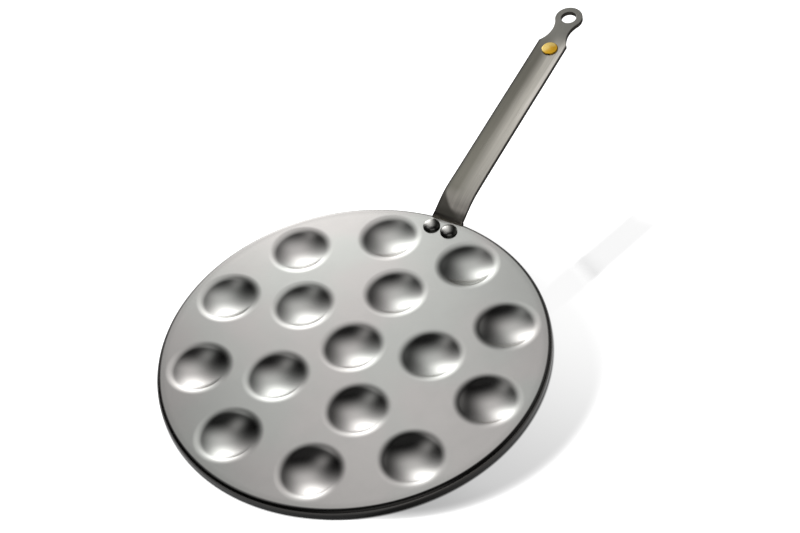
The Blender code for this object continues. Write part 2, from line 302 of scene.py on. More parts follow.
def turned(profile, columns, centre=(0.0, 0.0)):
    """Surface of revolution: each (radius, height) of the profile is carried round the vertical axis."""
    turn = np.arange(columns) * math.tau / columns
    radius, height = profile[:, 0, None], profile[:, 1, None]
    x = centre[0] + radius * np.cos(turn)
    y = centre[1] + radius * np.sin(turn)
    return np.stack([x, y, np.broadcast_to(height, x.shape)], axis=-1)


def filled(loops):
    """Triangles between a closed outline and the round holes in it, whose points are spaced evenly."""
    points = np.concatenate(loops)
    starts = np.cumsum([0] + [len(loop) for loop in loops[:-1]])
    edges = [(start + i, start + (i + 1) % len(loop)) for start, loop in zip(starts, loops)
             for i in range(len(loop))]
    result = geometry.delaunay_2d_cdt([Vector(p) for p in points], edges, [], 1, 1e-9)
    corners = np.array([v[:] for v in result[0]])
    faces = np.array(result[2])
    middles = corners[faces].mean(axis=1)
    inside = np.zeros(len(faces), bool)
    for hole in loops[1:]:
        centre = hole.mean(axis=0)
        reach = np.linalg.norm((hole[0] + hole[1]) / 2 - centre)
        inside |= np.linalg.norm(middles - centre, axis=1) < reach
    return corners, faces[~inside]


def quarter(radius, first, last, steps):
    """Arc from the first to the last degree: the cosines and the sines times radius."""
    turn = np.radians(np.linspace(first, last, steps))
    return radius * np.cos(turn), radius * np.sin(turn)


def finished(name, mesh, material, slot, *nodes):
    """Put a mesh into a piece that rides on the pan and stands for its solids."""
    mesh.materials.clear()
    mesh.materials.append(material)
    piece = bpy.data.objects.new(name, mesh)
    bpy.context.scene.collection.objects.link(piece)
    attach(piece, "root")
    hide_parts(*nodes)
    return piece


# Plate


def dish_places(plate):
    """Centres of the dishes: one in the middle and two rings, the inner ring half an outer step off."""
    inner = PATTERN_TURN + np.arange(INNER_COUNT) * math.tau / INNER_COUNT
    outer = PATTERN_TURN + (np.arange(OUTER_COUNT) + 0.5) * math.tau / OUTER_COUNT
    rings = [np.zeros((1, 2))]
    for radius, turn in ((plate.inner_ring, inner), (plate.outer_ring, outer)):
        rings.append(radius * np.column_stack([np.cos(turn), np.sin(turn)]))
    return np.concatenate(rings)


def dish_section(plate, below):
    """Half section of a dish, lip to middle, for the face that lies below the upper one by that much.

    The lip is an arc about a centre under the flat, the bowl an arc about a centre over the middle. They
    meet at the slope 2 atan(depth / radius). Below the upper face the lip's radius shrinks, the bowl's grows,
    and half as many rows will do.
    """
    fine = 1 if below else 2
    slope = 2 * math.atan(plate.depth / plate.lip_radius)
    bowl = plate.lip_radius / math.sin(slope) - plate.lip_rounding
    lean = np.linspace(0.0, slope, LIP_ROWS * fine + 1)
    lip = np.column_stack([plate.lip_radius - (plate.lip_rounding - below) * np.sin(lean),
                           plate.top - plate.lip_rounding + (plate.lip_rounding - below) * np.cos(lean)])
    lean = np.linspace(slope, 0.0, BOWL_ROWS * fine + 1)[1:]
    hollow = np.column_stack([(bowl + below) * np.sin(lean),
                              plate.top - plate.depth + bowl - (bowl + below) * np.cos(lean)])
    support = [[plate.lip_radius + SUPPORT, plate.top - below]]
    return np.concatenate([support, lip, hollow])


def rim_section(plate):
    """Section of shoulder and rim, from the flat top over the rim's lower edge to the flat underside."""
    flat = plate.radius - plate.shoulder
    inside = plate.radius - plate.sheet
    outer_x, outer_z = quarter(plate.shoulder, 90, 0, 13)
    inner_x, inner_z = quarter(plate.shoulder - plate.sheet, 0, 90, 7)
    edge_x, edge_z = quarter(plate.edge, 0, -90, 5)
    turn_x, turn_z = quarter(plate.edge, 270, 180, 5)
    low = plate.lift + plate.edge
    centre = plate.top - plate.shoulder
    walls = np.linspace(centre, low, 5)[1:-1]
    parts = [
        [[flat - SUPPORT, plate.top]],
        np.column_stack([flat + outer_x, centre + outer_z]),
        np.column_stack([np.full(3, plate.radius), walls]),
        np.column_stack([plate.radius - plate.edge + edge_x, low + edge_z]),
        np.column_stack([inside + plate.edge + turn_x, low + turn_z]),
        np.column_stack([flat + inner_x, centre + inner_z]),
        [[flat - SUPPORT, plate.top - plate.sheet]],
    ]
    return np.concatenate(parts)


def notch_section(plate, x):
    """Section of the notch's floor edge, top to bottom, with both edges rounded."""
    over_x, over_z = quarter(plate.edge, 90, 0, 5)
    under_x, under_z = quarter(plate.edge, 0, -90, 5)
    top, low = plate.top - plate.edge, plate.top - plate.sheet + plate.edge
    return np.concatenate([np.column_stack([x - plate.edge + over_x, top + over_z]),
                           np.column_stack([x - plate.edge + under_x, low + under_z])])


def plate_mesh(plate, strip_width):
    """Whole plate as one closed sheet.

    Each dish and its underside is a section turned about the dish's centre. The rim is a section carried
    round the plate as far as the sides of the notch. Flat fills join them above and below.
    """
    shell = Shell()
    places = dish_places(plate)
    notch_x = plate.radius - NOTCH_DEPTH
    half_notch = strip_width / 2 + NOTCH_SIDE_GAP
    section = rim_section(plate)
    first = math.asin(half_notch / plate.radius)
    turn = np.linspace(first, math.tau - first, RIM_COLUMNS)
    rim = np.empty((len(section), RIM_COLUMNS, 3))
    rim[..., 0] = section[:, 0, None] * np.cos(turn)
    rim[..., 1] = section[:, 0, None] * np.sin(turn)
    rim[..., 2] = section[:, 1, None]
    for column, side in ((0, 1.0), (-1, -1.0)):
        rim[:, column, 1] = side * half_notch
        rim[:, column, 0] = np.sqrt(section[:, 0] ** 2 - half_notch ** 2)
        rim[[0, -1], column, 0] = notch_x - plate.edge
        rim[[1, -2], column, 0] = notch_x - plate.edge / 2
    floor_edge = notch_section(plate, notch_x)
    across = np.linspace(half_notch, -half_notch, 9)
    notch = np.empty((len(floor_edge), len(across), 3))
    notch[..., 0] = floor_edge[:, 0, None]
    notch[..., 1] = across
    notch[..., 2] = floor_edge[:, 1, None]
    shell.grid(rim, closed=False)
    shell.grid(notch, closed=False)
    for column, end in ((0, 0), (-1, -1)):
        shell.polygon(np.concatenate([rim[:, column], notch[::-1, end][1:-1]]))
    holes = rivet_places(rivet_x(plate))
    drill = RIVET_RADIUS + GAP
    for below, row in ((0.0, 0), (plate.sheet, -1)):
        for place in places:
            shell.grid(turned(dish_section(plate, below), DISH_COLUMNS, place))
        outline = np.concatenate([rim[row, :, :2], notch[row, ::-1, :2][1:-1]])
        dishes = [circle(place, plate.lip_radius + SUPPORT, DISH_COLUMNS) for place in places]
        drills = [circle(place, drill, DRILL_COLUMNS) for place in holes]
        corners, faces = filled([outline] + dishes + drills)
        level = np.full((len(corners), 1), plate.top - below)
        shell.add(np.hstack([corners, level]), faces)
    for place in holes:
        wall = np.array([[drill, plate.top], [drill, plate.top - plate.sheet]])
        shell.grid(turned(wall, DRILL_COLUMNS, place))
    return shell.mesh("pan_plate")


def rivet_x(plate):
    """Distance of the rivets from the middle of the pan."""
    return plate.radius - NOTCH_DEPTH - RIVET_FROM_NOTCH


def rivet_places(x):
    """Places of the left and the right rivet at that distance along the handle."""
    return [(x, RIVET_OFFSET + side * RIVET_SPACING / 2) for side in (1, -1)]


# Handle


def strip_line(plate, handle):
    """Middle line of the strip in side view as (start length, length, point, heading, curvature) rows."""
    middle = plate.top - plate.sheet - GAP - handle.thickness / 2
    riser = plate.radius - NOTCH_DEPTH + GAP + handle.thickness / 2
    corners = [(rivet_x(plate) - FOOT_OVERLAP, middle), (riser, middle), (riser, plate.top + RISER_HEIGHT)]
    for length, slope in ((LOWER_LENGTH, LOWER_SLOPE), (STRAIGHT_LENGTH + handle.ring, STRAIGHT_SLOPE)):
        corners.append((corners[-1][0] + length * math.cos(slope), corners[-1][1] + length * math.sin(slope)))
    radii = [TIGHT_BEND, TIGHT_BEND, LONG_BEND]
    headings = [math.atan2(b[1] - a[1], b[0] - a[0]) for a, b in zip(corners, corners[1:])]
    turns = [b - a for a, b in zip(headings, headings[1:])]
    trims = [0.0] + [radius * math.tan(abs(turn) / 2) for radius, turn in zip(radii, turns)] + [0.0]
    rows, along, point = [], 0.0, np.array(corners[0])
    for i, heading in enumerate(headings):
        run = math.dist(corners[i], corners[i + 1]) - trims[i] - trims[i + 1]
        rows.append((along, run, point, heading, 0.0))
        point = point + run * np.array([math.cos(heading), math.sin(heading)])
        along += run
        if i < len(turns):
            bend = radii[i] * abs(turns[i])
            curvature = turns[i] / bend
            rows.append((along, bend, point, heading, curvature))
            after = headings[i + 1]
            point = point + np.array([math.sin(after) - math.sin(heading),
                                      math.cos(heading) - math.cos(after)]) / curvature
            along += bend
    return rows


def bent(points, rows):
    """Bend flat points (length, across, height) along the middle line.

    On a straight run a point goes on by its length in the run's heading. On an arc the heading grows with
    length times curvature, and the point is the arc's. The height is laid off square to the heading. Where
    the strip leaves the rim it is rolled about its middle line, which fades out along the handle. Its left
    side bulges a little where it is bent up, and the strip bows a hair to the left.
    """
    length, low = points[:, 0], rows[4][0]
    bulge = BULGE * smooth(length, rows[1][0], rows[2][0]) * (1 - smooth(length, rows[3][0], low))
    bow = BOW * smooth(length, low, low + 0.03) * (1 - smooth(length, low + 0.10, low + 0.14))
    points = points + np.outer(bulge * np.maximum(points[:, 1], 0.0) + bow, (0.0, 1.0, 0.0))
    roll = TWIST * smooth(length, rows[3][0], low) * (1 - smooth(length, low + 0.003, low + 0.046))
    across = points[:, 1] * np.cos(roll) - points[:, 2] * np.sin(roll)
    height = points[:, 1] * np.sin(roll) + points[:, 2] * np.cos(roll)
    x, z, lean = np.zeros_like(length), np.zeros_like(length), np.zeros_like(length)
    for start, _, point, heading, curvature in rows:
        here = length >= start - 1e-9
        rest = length[here] - start
        now = heading + rest * curvature
        if curvature:
            x[here] = point[0] + (np.sin(now) - math.sin(heading)) / curvature
            z[here] = point[1] + (math.cos(heading) - np.cos(now)) / curvature
        else:
            x[here] = point[0] + rest * math.cos(heading)
            z[here] = point[1] + rest * math.sin(heading)
        lean[here] = now
    return np.column_stack([x - height * np.sin(lean), across, z + height * np.cos(lean)])


def strip_side(handle, hole, ring_y, stations):
    """One side of the flat strip's outline from the foot's tip to the ring's tip.

    A half-round foot, a straight side through the given stations, a neck arc that touches the ring's
    circle, and the ring, whose centre lies ring_y toward this side.
    """
    half = handle.width / 2
    reach = NECK_HALF + NECK_ROUNDING
    neck_x = hole - math.sqrt((NECK_ROUNDING + handle.ring) ** 2 - reach ** 2)
    neck_y = ring_y + reach
    first = -math.pi / 2 - math.acos((neck_y - half) / NECK_ROUNDING)
    last = math.atan2(-reach, hole - neck_x)
    foot = np.linspace(math.pi, math.pi / 2, 17)
    neck = np.linspace(first, last, 25)
    ring = np.linspace(last + math.pi, 0.0, 41)[1:]
    sides = stations[(stations > half) & (stations < neck_x + NECK_ROUNDING * math.cos(first))]
    return np.concatenate([
        np.column_stack([half + half * np.cos(foot), half * np.sin(foot)]),
        np.column_stack([sides, np.full(len(sides), half)]),
        np.column_stack([neck_x + NECK_ROUNDING * np.cos(neck), neck_y + NECK_ROUNDING * np.sin(neck)]),
        np.column_stack([hole + handle.ring * np.cos(ring), ring_y + handle.ring * np.sin(ring)]),
    ])


def inward(loop):
    """Unit-mitred normals of a closed outline, pointing left of its direction."""
    ahead = np.roll(loop, -1, axis=0) - loop
    ahead /= np.linalg.norm(ahead, axis=1, keepdims=True)
    behind = np.roll(ahead, 1, axis=0)
    normal = np.column_stack([-(ahead + behind)[:, 1], (ahead + behind)[:, 0]])
    return normal / (1 + (ahead * behind).sum(axis=1, keepdims=True))


def bordered(loop, edge, thickness):
    """Rounded edge carried along an outline whose left side is metal: rows from top to underside."""
    turn = np.radians(np.linspace(90, 0, 6))
    inset = np.concatenate([[edge * 1.5], edge - edge * np.cos(turn)])
    height = np.concatenate([[thickness / 2], thickness / 2 - edge + edge * np.sin(turn)])
    inset = np.concatenate([inset, inset[::-1]])
    height = np.concatenate([height, -height[::-1]])
    flat = loop[None] + inward(loop)[None] * inset[:, None, None]
    return np.concatenate([flat, np.broadcast_to(height[:, None, None], flat.shape[:2] + (1,))], axis=-1)


def handle_mesh(plate, handle):
    """Strip handle as one closed body, drawn flat and then bent. The mesh keeps its flat coordinates."""
    rows = strip_line(plate, handle)
    hole = rows[-1][0] + rows[-1][1] - handle.ring
    stations = []
    for start, run, _, _, curvature in rows:
        steps = BEND_STEPS if curvature else max(2, round(run / STRAIGHT_STEP))
        stations.append(np.linspace(start, start + run, steps, endpoint=False))
    stations = np.concatenate(stations)
    left, right = (strip_side(handle, hole, offset, stations) for offset in (-RING_OFFSET, RING_OFFSET))
    outline = np.concatenate([left, (right * [1, -1])[-2:0:-1]])[::-1]
    button = (hole - BUTTON_TO_HOLE, -BUTTON_OFFSET)
    drills = [((hole, -RING_OFFSET), handle.hole, ROUND_COLUMNS, handle.edge),
              (button, BUTTON_SHANK + GAP, DRILL_COLUMNS, DRILL_EDGE)]
    for place in rivet_places(FOOT_OVERLAP):
        drills.append((place, RIVET_RADIUS + GAP, DRILL_COLUMNS, DRILL_EDGE))
    borders = [bordered(outline, handle.edge, handle.thickness)]
    for centre, radius, columns, edge in drills:
        borders.append(bordered(circle(centre, radius, columns)[::-1], edge, handle.thickness))
    shell = Shell()
    for border in borders:
        shell.grid(border)
    for row, level in ((0, handle.thickness / 2), (-1, -handle.thickness / 2)):
        corners, faces = filled([border[row, :, :2] for border in borders])
        shell.add(np.hstack([corners, np.full((len(corners), 1), level)]), faces)
    mesh = shell.mesh("handle_strip", STRIP_SHARP)
    flat = np.empty(3 * len(mesh.vertices))
    mesh.vertices.foreach_get("co", flat)
    mesh.attributes.new("flat", "FLOAT_VECTOR", "POINT").data.foreach_set("vector", flat)
    mesh.vertices.foreach_set("co", bent(flat.reshape(-1, 3), rows).ravel())
    mesh.update()
    return mesh, rows, hole


# Rivets and button


def tail_section(radius, level):
    """Half section of a flattened tail that hangs below a level, from its edge to its middle."""
    low = level - TAIL_HEIGHT
    return [[radius - FLAT_EDGE, level], [radius, level - FLAT_EDGE], [radius, level - TAIL_HEIGHT / 2],
            [radius - 2 * FLAT_EDGE, low + FLAT_EDGE], [TAIL_END, low], [0.0, low]]


def rivet_section(plate, handle, fittings):
    """Half section of a rivet: elliptic dome, shank through plate and foot, and the flattened tail."""
    turn = np.radians(np.linspace(90, 0, 22))
    base, high = plate.top + HEAD_CLEARANCE, plate.top + GAP + fittings.head_height
    rise = base + HEAD_EDGE
    dome = np.column_stack([fittings.head_radius * np.cos(turn) ** DOME_FULLNESS,
                            rise + (high - rise) * np.sin(turn)])
    tail = plate.top - plate.sheet - 2 * GAP - handle.thickness
    shank = [[fittings.head_radius - FLAT_EDGE, base], [RIVET_RADIUS, base], [RIVET_RADIUS, tail]]
    return np.concatenate([dome, shank, tail_section(RIVET_TAIL, tail)])


def button_section(handle, fittings):
    """Half section of the button: shallow crowned face, rounded edge, shank and riveted tail."""
    face = handle.thickness / 2 + GAP
    top = face + fittings.button_height
    radius = fittings.button_radius
    crown = np.linspace(0.0, 1.0, 9)
    crowned = np.column_stack([crown * (radius - 1.5 * BUTTON_EDGE), top - BUTTON_CROWN * crown ** 2])
    round_x, round_z = quarter(BUTTON_EDGE, 76, 0, 9)
    edge = np.column_stack([radius - BUTTON_EDGE + round_x, top - 1.3 * BUTTON_EDGE + round_z])
    shank = [[radius, face + FLAT_EDGE], [radius - FLAT_EDGE, face],
             [BUTTON_SHANK, face], [BUTTON_SHANK, -face]]
    return np.concatenate([crowned, edge, shank, tail_section(BUTTON_TAIL, -face)])


# Materials


class Value:
    """Socket of a material's nodes that can be used in Python arithmetic."""

    def __init__(self, nodes, socket):
        self.nodes = nodes
        self.socket = socket

    def math(self, operation, *others):
        """Math node of that operation on this value and others."""
        return self.nodes.node("ShaderNodeMath", {"operation": operation}, self, *others)

    def __add__(self, other):
        return self.math("ADD", other)

    def __mul__(self, other):
        return self.math("MULTIPLY", other)

    def __sub__(self, other):
        return self.math("SUBTRACT", other)

    def __rsub__(self, other):
        return self.nodes.node("ShaderNodeMath", {"operation": "SUBTRACT"}, other, self)

    def __pow__(self, other):
        return self.math("POWER", other)

    __radd__ = __add__
    __rmul__ = __mul__

    def ramp(self, low, high, to_low=0.0, to_high=1.0):
        """Smooth step from one level to another as this value goes from low to high."""
        return self.nodes.node("ShaderNodeMapRange", {"interpolation_type": "SMOOTHSTEP"}, self, low, high,
                               to_low, to_high)


class Nodes:
    """Nodes of one material with a Principled BSDF."""

    def __init__(self, name, metallic=1.0):
        self.material = bpy.data.materials.new(name)
        self.material.use_nodes = True
        self.tree = self.material.node_tree
        self.shader = self.tree.nodes["Principled BSDF"]
        self.shader.inputs["Metallic"].default_value = metallic
        self.place = self.node("ShaderNodeTexCoord", {}, output="Object")

    def node(self, kind, options, *values, output=0, **named):
        """Add a node with its settings, feed its inputs by order or name, and return one output."""
        made = self.tree.nodes.new(kind)
        for key, option in options.items():
            setattr(made, key, option)
        for key, value in [*enumerate(values), *named.items()]:
            socket = made.inputs[key]
            if isinstance(value, Value):
                self.tree.links.new(value.socket, socket)
            elif value is not None:
                socket.default_value = value
        return Value(self, made.outputs[output])

    def scaled(self, place, x, y, z):
        """Coordinates with each axis scaled on its own."""
        return self.node("ShaderNodeMapping", {}, place, Scale=(x, y, z))

    def noise(self, scale, detail=2.0, roughness=0.5, place=None):
        """Noise of about 1 / scale metres, from zero to one."""
        return self.node("ShaderNodeTexNoise", {}, place or self.place, Scale=scale, Detail=detail,
                         Roughness=roughness)

    def mix(self, factor, first, second):
        """Mix of two colours."""
        made = self.tree.nodes.new("ShaderNodeMix")
        made.data_type = "RGBA"
        for socket, value in zip((made.inputs[0], made.inputs[6], made.inputs[7]), (factor, first, second)):
            if isinstance(value, Value):
                self.tree.links.new(value.socket, socket)
            else:
                socket.default_value = value if socket == made.inputs[0] else (*value, 1.0)
        return Value(self, made.outputs[2])

    def parts(self, place=None):
        """The three parts of a vector as values, of the Object coordinates unless another is given."""
        split = self.node("ShaderNodeSeparateXYZ", {}, place or self.place)
        return [Value(self, socket) for socket in split.socket.node.outputs]

    def use(self, socket, value):
        """Feed one of the shader's sockets."""
        if isinstance(value, Value):
            self.tree.links.new(value.socket, self.shader.inputs[socket])
        else:
            self.shader.inputs[socket].default_value = value

    def bump(self, height, distance):
        """Bump from a height between zero and one that stands for a distance in metres."""
        self.use("Normal", self.node("ShaderNodeBump", {}, Strength=1.0, Distance=distance, Height=height))


def plate_material(plate):
    """Satin sheet steel: faint warm and green film, fine grain, a painted highlight at the notch, a rim of
    painted shade.
    """
    nodes = Nodes("satin_steel")
    x, y, z = nodes.parts()
    radius = (x * x + y * y) ** 0.5
    film = nodes.noise(14.0, 2.0)
    tint = nodes.mix(film.ramp(0.40, 0.62), tuple(plate.warm), tuple(plate.green))
    steel = nodes.mix(0.55, tuple(plate.steel), tint)
    grain = nodes.noise(1400.0, 2.0)
    clouds = nodes.noise(60.0, 3.0)
    steel = nodes.mix(grain.ramp(0.3, 0.7, 0.0, 0.06), steel, GRAIN_GREY)
    steel = nodes.mix(clouds.ramp(0.35, 0.75, 0.0, 0.10), steel, CLOUD_GREY)
    steel = nodes.mix(radius.ramp(0.127, 0.1315, 0.0, 0.20), steel, SHOULDER_GREY)
    notch = plate.radius - NOTCH_DEPTH
    # Painted highlight: a pale line on the flat along the notch's cut edge.
    notch_highlight = x.ramp(notch - 0.0019, notch - 0.0009) * (y * y).ramp(0.0132 ** 2, 0.0140 ** 2, 1.0, 0.0)
    steel = nodes.mix(notch_highlight, steel, NOTCH_HIGHLIGHT)
    # Painted shade: the rim is painted dark for the dark that it reflects, darker still low down and on the
    # left.
    rim = radius.ramp(plate.radius - plate.shoulder - 0.0002, plate.radius - 0.0011) * (1.0 - notch_highlight)
    low = z.ramp(plate.top - 0.0045, plate.top - 0.0028, 1.0, 0.0)
    left = x.ramp(-0.13, -0.07, 1.0, 0.0)
    rim_painted_dark = nodes.mix(left * 0.55, tuple(plate.rim_painted_dark), RIM_LEFT_SHADE)
    rim_painted_dark = nodes.mix(low * 0.75 + low * left * 0.2, rim_painted_dark, RIM_LOW_SHADE)
    nodes.use("Base Color", nodes.mix(rim, steel, rim_painted_dark))
    rough = clouds * 0.06 + grain * 0.05 + (plate.roughness - 0.055)
    nodes.use("Roughness", rough + rim * 0.08 + notch_highlight * 0.35)
    nodes.bump(grain, 0.000004)
    return nodes.material


def strip_material(handle, low, hole):
    """Brushed strip steel, laid out over the strip's flat coordinates (length, across, height).

    Long fine marks; painted shade as a darker greenish colour on the left half, which darkens along the
    handle and fades at the neck; bare steel that lightens along the handle as painted reflection; painted
    highlights low on the lower run and near the right edge; dark sides and edges, with painted shade along
    the left edge; and at the base a patch of painted dark reflection whose end curves back from left to
    right.
    """
    nodes = Nodes("brushed_strip")
    flat = nodes.node("ShaderNodeAttribute", {"attribute_name": "flat"}, output="Vector")
    length, across, height = nodes.parts(flat)
    marks = nodes.noise(1.0, 3.0, 0.6, nodes.scaled(flat, 28.0, 1100.0, 300.0))
    wide = nodes.noise(1.0, 2.0, 0.5, nodes.scaled(flat, 9.0, 190.0, 60.0))
    clouds = nodes.noise(70.0, 2.0, 0.5, flat)
    along = length.ramp(low + 0.02, low + 0.13)
    neck = length.ramp(hole - 0.040, hole - 0.016)
    # Painted shade: the left half takes the darker colour, which darkens further along the handle.
    film = nodes.mix(along, tuple(handle.dark), tuple(0.72 * part for part in handle.dark))
    # Painted reflection: the bare steel grows lighter along the handle.
    dim, bright = (tuple(level * part for part in handle.steel) for level in (0.84, 1.20))
    steel = nodes.mix(along, dim, bright)
    side = (across + wide * 0.003 - 0.0015).ramp(-0.0052, 0.0045, 1.0, 0.0)
    bare = nodes.mix(neck, nodes.mix(side, film, steel), NECK_STEEL)
    # Painted highlight low on the lower run, near the base.
    bare = nodes.mix(length.ramp(low + 0.005, low + 0.024, 1.0, 0.0), bare, BASE_PAINTED_HIGHLIGHT)
    # Painted highlight near the right edge, along the handle.
    sheen = across.ramp(-0.0106, -0.0060, 1.0, 0.0) * length.ramp(low + 0.080, low + 0.120) * (1.0 - neck)
    bare = nodes.mix(sheen * 0.8, bare, RIGHT_PAINTED_HIGHLIGHT)
    # Painted shade along the left edge of the top face.
    bare = nodes.mix(across.ramp(0.0080, 0.0104) * 0.55, bare, SHADE_BLACK)
    bare = nodes.mix(marks.ramp(0.35, 0.70, 0.0, 0.22), bare, tuple(handle.dark))
    bare = nodes.mix(wide.ramp(0.45, 0.66, 0.0, 0.20), bare, STREAK_BROWN)
    # Painted dark reflection at the base: a patch whose end curves back from left to right, and a darker band
    # just above the base.
    patch = length - across * 0.85 - across * across * 30.0 - (low + 0.0053)
    bare = nodes.mix(patch.ramp(-0.0022, 0.0022, 0.90, 0.0), bare, DARK_REFLECTION)
    bare = nodes.mix(length.ramp(low + 0.002, low + 0.0075, 0.80, 0.0), bare, DARK_REFLECTION)
    bare = nodes.mix(length.ramp(low - 0.0018, low - 0.0002, 1.0, 0.0), bare, RISER_STEEL)
    edge = (height * height).ramp((handle.thickness / 2 - handle.edge) ** 2,
                                  (handle.thickness / 2 - handle.edge * 0.2) ** 2, 1.0, 0.0)
    edge = edge.math("MAXIMUM", across.ramp(0.0102, 0.0111))
    nodes.use("Base Color", nodes.mix(edge, bare, tuple(handle.scale)))
    base = length.ramp(low + 0.006, low + 0.020, 0.10, 0.0)
    nodes.use("Roughness", marks * 0.12 + clouds * 0.08 + edge * 0.15 + base + (handle.roughness - 0.10))
    nodes.use("Specular Tint", (0.5, 0.5, 0.5, 1.0))
    nodes.bump(marks, 0.00001)
    return nodes.material


def rivet_material(fittings, plate):
    """Cold-formed steel with a faint pitted skin, painted black low on the head and on its right side as
    painted shade.

    The place on a head is found as the place modulo the spacing of the two rivets.
    """
    nodes = Nodes("rivet_steel")
    pits = nodes.noise(900.0, 3.0)
    dents = nodes.noise(260.0, 1.0)
    x, y, z = nodes.parts()
    steel = nodes.mix(pits.ramp(0.4, 0.75, 0.0, 0.3), tuple(fittings.rivet_steel), PIT_GREY)
    # Painted shade: each head is black on its right side and low down.
    beside = (y - RIVET_OFFSET).math("FLOORED_MODULO", RIVET_SPACING) - RIVET_SPACING / 2
    right = ((x - rivet_x(plate)) * 0.50 - beside * 0.86).ramp(-0.0014, 0.0036)
    painted_shade = right.math("MAXIMUM", z.ramp(plate.top + 0.0014, plate.top + 0.0028, 1.0, 0.0))
    nodes.use("Base Color", nodes.mix(painted_shade, steel, SHADE_BLACK))
    nodes.use("Roughness", pits * 0.15 + 0.20)
    nodes.bump(dents * 0.8 + pits * 0.2, 0.00008)
    return nodes.material


def brass_material(fittings, centre):
    """Polished gold-coloured brass with fine turning marks, paler on the far half and amber on the near one
    as painted shade.
    """
    nodes = Nodes("polished_brass")
    grain = nodes.noise(1200.0, 2.0)
    cloud = nodes.noise(220.0, 2.0)
    x, y, _ = nodes.parts()
    # Painted shade: the near half of the face turns amber.
    near = (x - centre[0]) * 0.45 + (y - centre[1]) * 0.89 + (cloud - 0.5) * 0.006
    amber = near.ramp(-0.0032, 0.0022, 1.0, 0.0)
    nodes.use("Base Color", nodes.mix(amber, tuple(fittings.brass), AMBER_SHADE))
    nodes.use("Roughness", grain * 0.10 + 0.16)
    nodes.bump(grain, 0.000006)
    return nodes.material


# Stage

CAMERA_PLACE = Vector((-0.52017, -0.44737, 0.7710))
CAMERA_AXES = ((0.50244, 0.65991, -0.55863), (-0.85657, 0.29201, -0.42546), (-0.11764, 0.69228, 0.71198))
LENS = 68.05
SENSOR = 36.0
STUDIO = 0.86
WALL_ROLL = (-3.0, 100.0, 70)
WALL_SIDE = (-60.0, 60.0, 61)
PATCH_GLOW = 0.30
PATCH_SIDE = -27.0
PATCH_ROLL = 82.0
PATCH_REACH = 13.0
FAR = math.atan2(-CAMERA_PLACE.y, -CAMERA_PLACE.x)
KEY_TURN = math.radians(115.7)
KEY_RISE = math.radians(9.9)
KEY_SPREAD = math.radians(6.0)
FLOOR_RADIUS = 8.0
FLOOR_CORNERS = 64
SHADOW_INNER = (0.008, -0.057)
SHADOW_OUTER = (0.0164, -0.034)
BAND_SQUARE = (0.259, 0.966)
BAND_OFFSET = 0.070
BAND_CORE = 0.008
BAND_REACH = 0.014


def make_camera():
    """Camera at the photograph's place, kept level with its own right, up and back directions."""
    data = bpy.data.cameras.new("camera")
    data.lens = LENS
    data.sensor_width = SENSOR
    data.clip_start = 0.01
    camera = bpy.data.objects.new("camera", data)
    camera.matrix_world = Matrix.Translation(CAMERA_PLACE) @ Matrix(CAMERA_AXES).to_4x4()
    bpy.context.scene.collection.objects.link(camera)
    bpy.context.scene.camera = camera


def direction(around, up):
    """Unit vector at one angle round from +X and another up from the floor."""
    return Vector((math.cos(around) * math.cos(up), math.sin(around) * math.cos(up), math.sin(up)))


def make_wall(stage):
    """Curved light wall beyond and above the pan, a part of a ball of STUDIO metres about its middle.

    Its two parameters are the roll, from the far floor up over the zenith, and the angle beside the line
    of sight, positive to the right. The glow is a narrow bright card that fades out with the roll, plus a
    wider and dimmer sky that fades out later. Over the side angle both are bell curves about a middle that
    drifts with the roll. The right end glows faintly, and so does a soft patch high on the left.
    """
    roll, side = np.meshgrid(np.linspace(*WALL_ROLL), np.linspace(*WALL_SIDE), indexing="ij")
    off = np.abs(side + 5.3 - 10.4 * smooth(roll, 0.0, 75.0))
    wide = 20.0 - 2.5 * smooth(roll, 0.0, 65.0)
    glow = stage.card * (1 - smooth(roll, 5.0, 52.0)) * np.exp(-(off / 8.0) ** 2 / 2)
    glow += stage.sky * (1 - smooth(roll, 54.0, 95.0)) * np.exp(-(off / wide) ** 2.4 / 2)
    glow += stage.side * smooth(side, 38.0, 52.0)
    away = ((side - PATCH_SIDE) / PATCH_REACH) ** 2 + ((roll - PATCH_ROLL) / PATCH_REACH) ** 2
    glow += PATCH_GLOW * np.exp(-away)
    roll, side = np.radians(roll), np.radians(side)
    ahead, beside = np.cos(side) * np.cos(roll), np.sin(side)
    cos_far, sin_far = math.cos(FAR), math.sin(FAR)
    points = STUDIO * np.stack([ahead * cos_far + beside * sin_far, ahead * sin_far - beside * cos_far,
                                np.cos(side) * np.sin(roll)], axis=-1)
    mesh = bpy.data.meshes.new("light_wall")
    mesh.from_pydata(points.reshape(-1, 3).tolist(), [], quads(*roll.shape, False).tolist())
    mesh.attributes.new("glow", "FLOAT", "POINT").data.foreach_set("value", glow.ravel().astype(np.float32))
    nodes = Nodes("light_wall", metallic=0.0)
    nodes.use("Base Color", (0.0, 0.0, 0.0, 1.0))
    nodes.use("Specular IOR Level", 0.0)
    nodes.use("Emission Color", nodes.node("ShaderNodeAttribute", {"attribute_name": "glow"}, output="Fac"))
    nodes.use("Emission Strength", 1.0)
    mesh.materials.append(nodes.material)
    wall = bpy.data.objects.new("light_wall", mesh)
    wall.visible_camera = False
    wall.visible_diffuse = False
    wall.visible_shadow = False
    bpy.context.scene.collection.objects.link(wall)


